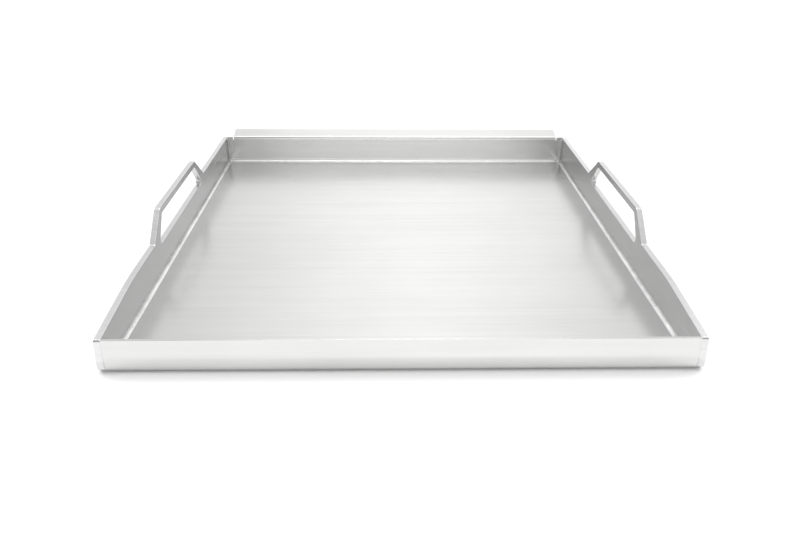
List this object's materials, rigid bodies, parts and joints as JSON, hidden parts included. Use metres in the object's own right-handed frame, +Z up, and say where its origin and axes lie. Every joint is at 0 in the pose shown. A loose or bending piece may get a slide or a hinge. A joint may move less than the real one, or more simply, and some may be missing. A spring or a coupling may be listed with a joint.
{
  "type": "flat griddle pan",
  "caption": "Shallow square griddle pan of brushed stainless sheet, with a rear lip and side plates whose handles have finger slots.",
  "frame": {"origin": "on the resting face, in the middle between the side plates and halfway along them", "axes": "+X to the right, +Y from the low front wall towards the back wall and its lip, +Z up"},
  "size_m": [0.5, 0.5212, 0.066],
  "materials": {
    "brushed_sheet": "brushed from left to right, satin",
    "brushed_plate": "brushed from front to back, satin",
    "polished_weld": "ground and polished"
  },
  "bodies": {
    "root": {"pan_sheet": "brushed_sheet", "side_plate_left": "brushed_plate", "side_plate_right": "brushed_plate", "floor_weld_left": "polished_weld", "floor_weld_right": "polished_weld", "front_corner_weld_left": "polished_weld", "front_corner_weld_right": "polished_weld", "back_corner_weld_left": "polished_weld", "back_corner_weld_right": "polished_weld"}
  },
  "joints": []
}
